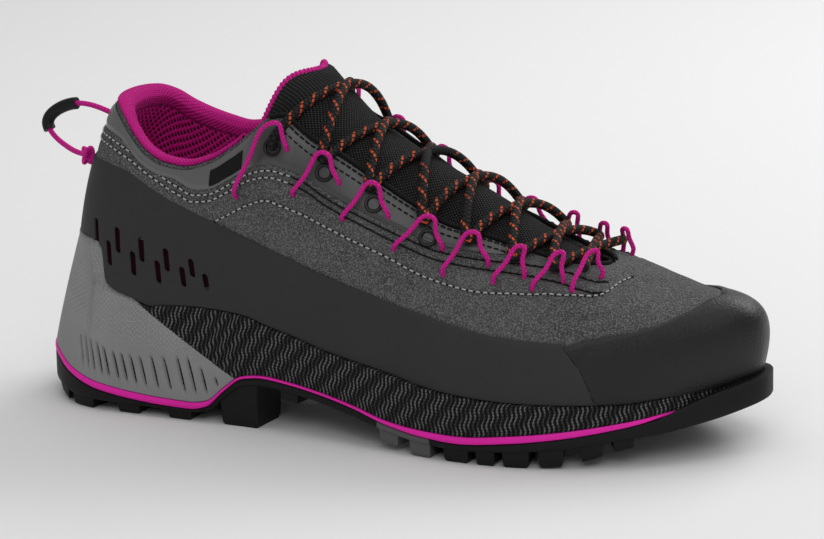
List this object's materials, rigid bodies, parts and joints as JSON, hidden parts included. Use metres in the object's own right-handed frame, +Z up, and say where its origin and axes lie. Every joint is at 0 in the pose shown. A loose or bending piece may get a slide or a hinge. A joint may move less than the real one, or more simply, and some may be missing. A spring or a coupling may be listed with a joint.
{
  "type": "approach shoe",
  "caption": "Low approach shoe for the right foot in charcoal nubuck with rubber rand and toe cap, lace loops and a lugged sole.",
  "frame": {"origin": "middle of the shoe's length and width on the ground it stands on", "axes": "+X towards the toe, +Y towards the inner side of the foot, +Z up"},
  "size_m": [0.2834, 0.1, 0.127],
  "materials": {
    "rubber": "matte",
    "foam_line": "matte",
    "knit": "matte",
    "grey_foam": "matte",
    "insole": "matte",
    "nubuck": "matte",
    "rand": "satin",
    "toe_cap": "satin",
    "film": "satin",
    "lining": "matte",
    "tongue": "matte",
    "loop_cord": "matte",
    "lace": "matte",
    "sleeve": "matte",
    "eyelet": "satin"
  },
  "bodies": {
    "root": {"outsole": "rubber", "foam_line": "foam_line", "midsole": "knit", "heel_cradle": "grey_foam", "insole": "insole", "upper": "nubuck", "rand": "rand", "toe_cap": "toe_cap", "collar_film": "film", "collar_lining": "lining", "tongue": "tongue", "lace_loop_lateral_1": "loop_cord", "lace_loop_lateral_2": "loop_cord", "lace_loop_lateral_3": "loop_cord", "lace_loop_lateral_4": "loop_cord", "lace_loop_lateral_5": "loop_cord", "lace_loop_lateral_6": "loop_cord", "lace_loop_lateral_7": "loop_cord", "lace_loop_lateral_8": "loop_cord", "lace_loop_medial_1": "loop_cord", "lace_loop_medial_2": "loop_cord", "lace_loop_medial_3": "loop_cord", "lace_loop_medial_4": "loop_cord", "lace_loop_medial_5": "loop_cord", "lace_loop_medial_6": "loop_cord", "lace_loop_medial_7": "loop_cord", "lace_loop_medial_8": "loop_cord", "laces": "lace", "pull_cord": "loop_cord", "pull_sleeve": "sleeve", "pull_knot": "loop_cord", "eyelet_lateral_1": "eyelet", "eyelet_lateral_2": "eyelet", "eyelet_lateral_3": "eyelet", "eyelet_lateral_4": "eyelet", "eyelet_medial_1": "eyelet", "eyelet_medial_2": "eyelet", "eyelet_medial_3": "eyelet", "eyelet_medial_4": "eyelet"}
  },
  "joints": []
}
